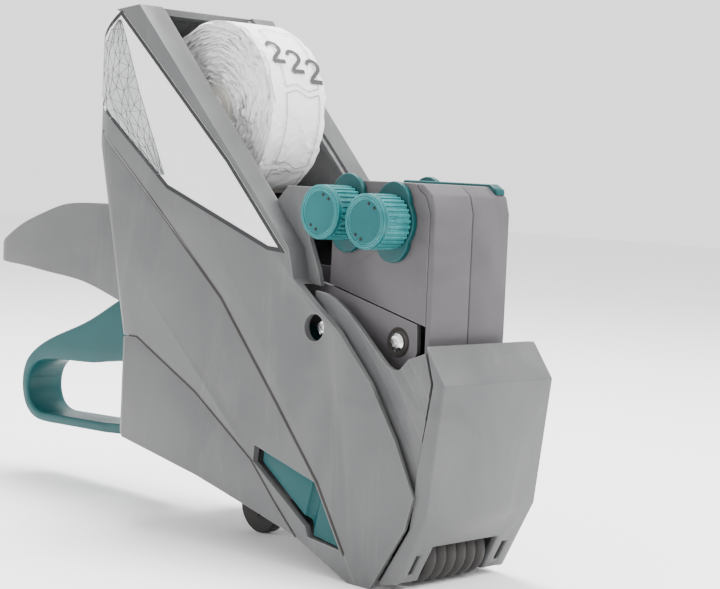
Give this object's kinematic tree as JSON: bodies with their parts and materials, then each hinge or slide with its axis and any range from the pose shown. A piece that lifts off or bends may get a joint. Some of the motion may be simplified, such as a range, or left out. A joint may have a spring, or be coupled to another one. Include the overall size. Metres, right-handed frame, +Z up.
{
  "type": "price labeler",
  "caption": "Hand-held price labeler: slanted casing with a label roll on top, swinging print head with setting knobs, squeeze trigger under a grip, and a soft roller in the nose.",
  "frame": {"origin": "under the middle of the whole tool, on the surface it stands on", "axes": "+X forward towards the nose, +Y to the tool's left, +Z up"},
  "size_m": [0.284, 0.0674, 0.194],
  "materials": {
    "grey_casing": "satin",
    "dark_inner": "satin",
    "head_plastic": "satin",
    "teal": "satin",
    "knob": "satin",
    "indicator": "satin",
    "window": "gloss",
    "type_band": "satin",
    "steel": "satin",
    "screw": "polished",
    "ink": "matte",
    "black_rubber": "satin",
    "feed_plastic": "satin",
    "label_paper": "matte",
    "core_card": "matte",
    "decal_film": "satin"
  },
  "bodies": {
    "casing": {"upper_shell_right": "grey_casing", "upper_shell_left": "grey_casing", "middle_shell_right": "grey_casing", "middle_shell_left": "grey_casing", "handle_right": "grey_casing", "handle_left": "grey_casing", "side_panel_right": "grey_casing", "side_panel_left": "grey_casing", "nose_hood": "grey_casing", "bay_wall_right": "grey_casing", "bay_wall_left": "grey_casing", "bay_floor": "dark_inner", "print_table": "steel", "roll_spindle": "feed_plastic", "head_pivot_shaft": "steel", "trigger_shaft": "steel", "applicator_axle": "steel", "feed_axle": "steel", "flap_hinge_pins": "steel", "casing_screws": "screw", "return_spring": "steel", "decal_right": "decal_film", "decal_left": "decal_film"},
    "trigger_lever": {"trigger": "teal"},
    "print_head": {"head_plate_right": "head_plastic", "head_plate_left": "head_plastic", "head_box": "head_plastic", "head_cover_right": "head_plastic", "head_cover_left": "head_plastic", "head_window": "window", "type_block": "dark_inner", "front_type_bands": "type_band", "rear_type_bands": "type_band", "front_flange_right": "teal", "front_flange_left": "teal", "rear_flange_right": "teal", "rear_flange_left": "teal", "head_screws": "screw"},
    "ink_arm": {"ink_yoke": "dark_inner"},
    "ink_roll": {"ink_roller": "ink"},
    "front_selector": {"front_indicator": "indicator"},
    "front_dial": {"front_knob": "knob"},
    "rear_selector": {"rear_indicator": "indicator"},
    "rear_dial": {"rear_knob": "knob"},
    "labels": {"label_roll": "label_paper", "roll_core": "core_card"},
    "feed": {"feed_wheel": "feed_plastic"},
    "pawl": {"feed_pawl": "dark_inner"},
    "applicator": {"applicator_roller": "black_rubber"},
    "flap": {"base_flap": "grey_casing", "wheel_fork": "dark_inner", "flap_axles": "steel"},
    "pressure": {"pressure_roller": "black_rubber"},
    "wheel": {"rest_wheel": "black_rubber"},
    "right_latch": {"latch_right": "teal"},
    "left_latch": {"latch_left": "teal"}
  },
  "joints": [
    {"name": "trigger_squeeze", "type": "hinge", "parent": "casing", "child": "trigger_lever", "pos_m": [0.02, 0, 0.07], "axis": [0, 1, 0], "range_deg": [0, 12], "stiffness_Nm_per_rad": 1, "springref_deg": -11.46, "deforming": ["return_spring"]},
    {"name": "head_press", "type": "hinge", "parent": "casing", "child": "print_head", "pos_m": [-0.005, 0, 0.095], "axis": [0, 1, 0], "range_deg": [0, 6.6]},
    {"name": "ink_swing", "type": "hinge", "parent": "print_head", "child": "ink_arm", "pos_m": [0.1, 0, 0.075], "axis": [0, -1, 0], "range_deg": [0, 60.5]},
    {"name": "ink_roller_spin", "type": "hinge", "parent": "ink_arm", "child": "ink_roll", "pos_m": [0.1, 0, 0.0401], "axis": [0, 1, 0], "continuous": true},
    {"name": "front_selector_slide", "type": "slide", "parent": "print_head", "child": "front_selector", "axis": [0, -1, 0], "range_m": [0, 0.005]},
    {"name": "front_knob_turn", "type": "hinge", "parent": "front_selector", "child": "front_dial", "pos_m": [0.109, 0, 0.12], "axis": [0, 1, 0], "continuous": true},
    {"name": "rear_selector_slide", "type": "slide", "parent": "print_head", "child": "rear_selector", "axis": [0, -1, 0], "range_m": [0, 0.005]},
    {"name": "rear_knob_turn", "type": "hinge", "parent": "rear_selector", "child": "rear_dial", "pos_m": [0.0875, 0, 0.122], "axis": [0, 1, 0], "continuous": true},
    {"name": "label_roll_spin", "type": "hinge", "parent": "casing", "child": "labels", "pos_m": [0.006, 0, 0.156], "axis": [0, 1, 0], "continuous": true},
    {"name": "feed_spin", "type": "hinge", "parent": "casing", "child": "feed", "pos_m": [0.074, 0, 0.025], "axis": [0, 1, 0], "continuous": true},
    {"name": "pawl_swing", "type": "hinge", "parent": "casing", "child": "pawl", "pos_m": [0.074, 0, 0.025], "axis": [0, 1, 0], "range_deg": [0, 30.5]},
    {"name": "applicator_spin", "type": "hinge", "parent": "casing", "child": "applicator", "pos_m": [0.1184, 0, 0.0106], "axis": [0, 1, 0], "continuous": true},
    {"name": "flap_open", "type": "hinge", "parent": "casing", "child": "flap", "pos_m": [-0.016, 0, 0.066], "axis": [0, 1, 0], "range_deg": [0, 18]},
    {"name": "pressure_spin", "type": "hinge", "parent": "flap", "child": "pressure", "pos_m": [0.0632, 0, 0.0218], "axis": [0, 1, 0], "continuous": true},
    {"name": "rest_wheel_spin", "type": "hinge", "parent": "flap", "child": "wheel", "pos_m": [0.03, 0, 0.0106], "axis": [0, 1, 0], "continuous": true},
    {"name": "latch_right_press", "type": "slide", "parent": "casing", "child": "right_latch", "axis": [0, 1, 0], "range_m": [0, 0.0022], "stiffness_N_per_m": 400, "springref_m": -0.001},
    {"name": "latch_left_press", "type": "slide", "parent": "casing", "child": "left_latch", "axis": [0, -1, 0], "range_m": [0, 0.0022], "stiffness_N_per_m": 400, "springref_m": -0.001}
  ],
  "couplings": [
    {"joint": "head_press", "follows": "trigger_squeeze", "ratio": 0.545},
    {"joint": "ink_swing", "follows": "trigger_squeeze", "ratio": 5},
    {"joint": "pawl_swing", "follows": "trigger_squeeze", "ratio": 2.5}
  ]
}
